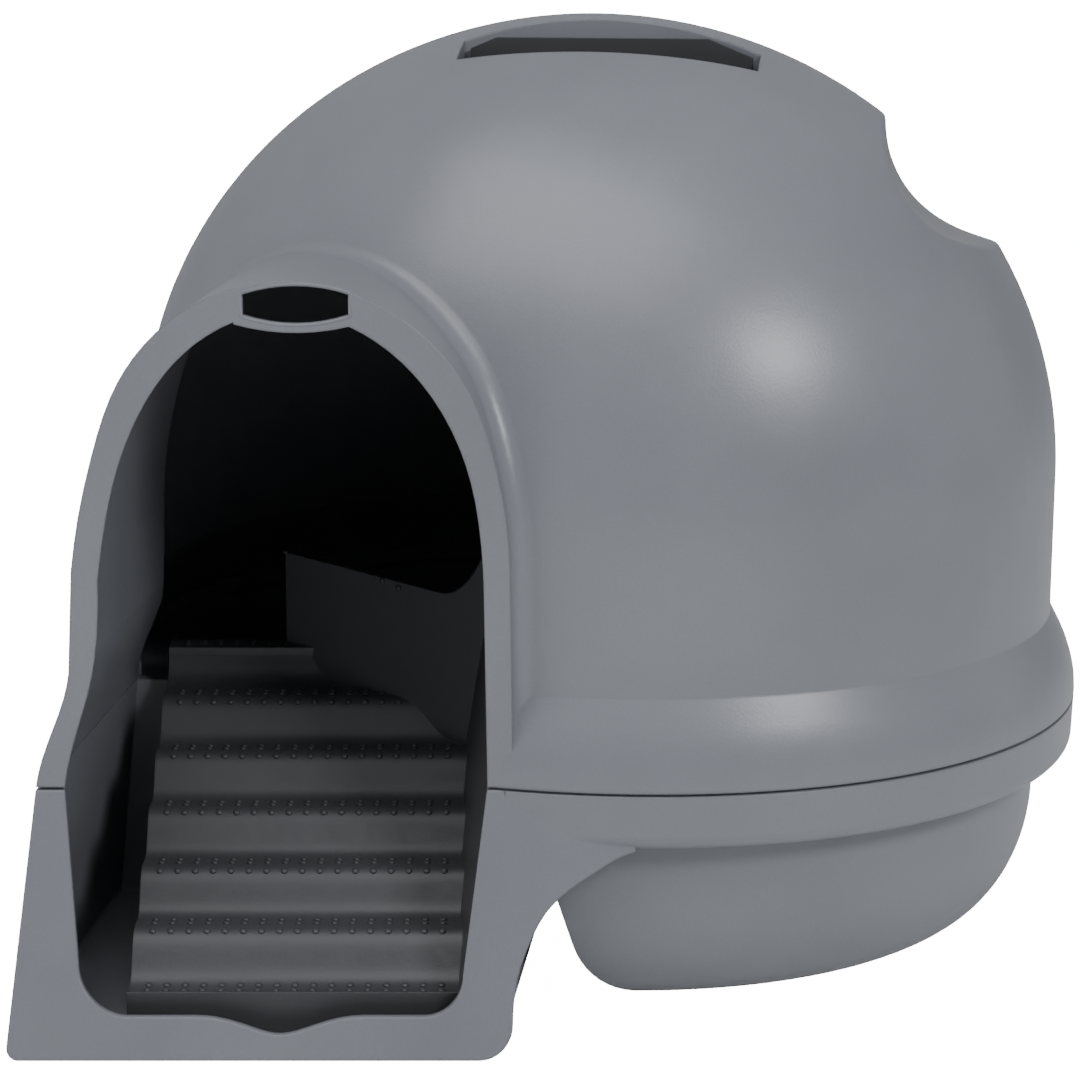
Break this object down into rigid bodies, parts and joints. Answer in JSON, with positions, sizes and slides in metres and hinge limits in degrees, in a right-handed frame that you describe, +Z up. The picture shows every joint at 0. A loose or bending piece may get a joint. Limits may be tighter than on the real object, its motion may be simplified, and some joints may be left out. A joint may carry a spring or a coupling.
{
  "type": "covered litter box",
  "caption": "Domed covered litter box: oval pan with a stepped entry ramp, lift-off dome lid with arched entry hood, and a filter tray in the crown slot.",
  "frame": {"origin": "on the floor under the dome's middle", "axes": "+Z up, -Y out of the entry, +X to the right seen from the entry"},
  "size_m": [0.5676, 0.5478, 0.497],
  "materials": {
    "body": "satin, finely grained moulded polypropylene",
    "step": "satin moulded polypropylene with grip bumps",
    "filter_plastic": "satin dark moulded plastic",
    "pad": "charcoal-filled felt"
  },
  "bodies": {
    "base": {"base": "body"},
    "lid": {"lid": "body"},
    "step_insert": {"step_insert": "step"},
    "filter_tray": {"filter_tray": "filter_plastic", "filter_pad": "pad"},
    "filter_cover": {"filter_cover": "filter_plastic"}
  },
  "joints": [
    {"name": "lid_lift", "type": "slide", "parent": "base", "child": "lid", "axis": [0, 0, 1], "range_m": [0, 0.15]},
    {"name": "step_insert_lift", "type": "slide", "parent": "base", "child": "step_insert", "axis": [0, 0, 1], "range_m": [0, 0.02]},
    {"name": "filter_tray_lift", "type": "slide", "parent": "lid", "child": "filter_tray", "axis": [0, 0, 1], "range_m": [0, 0.07]},
    {"name": "filter_cover_lift", "type": "slide", "parent": "filter_tray", "child": "filter_cover", "axis": [0, 0, 1], "range_m": [0, 0.05]}
  ]
}
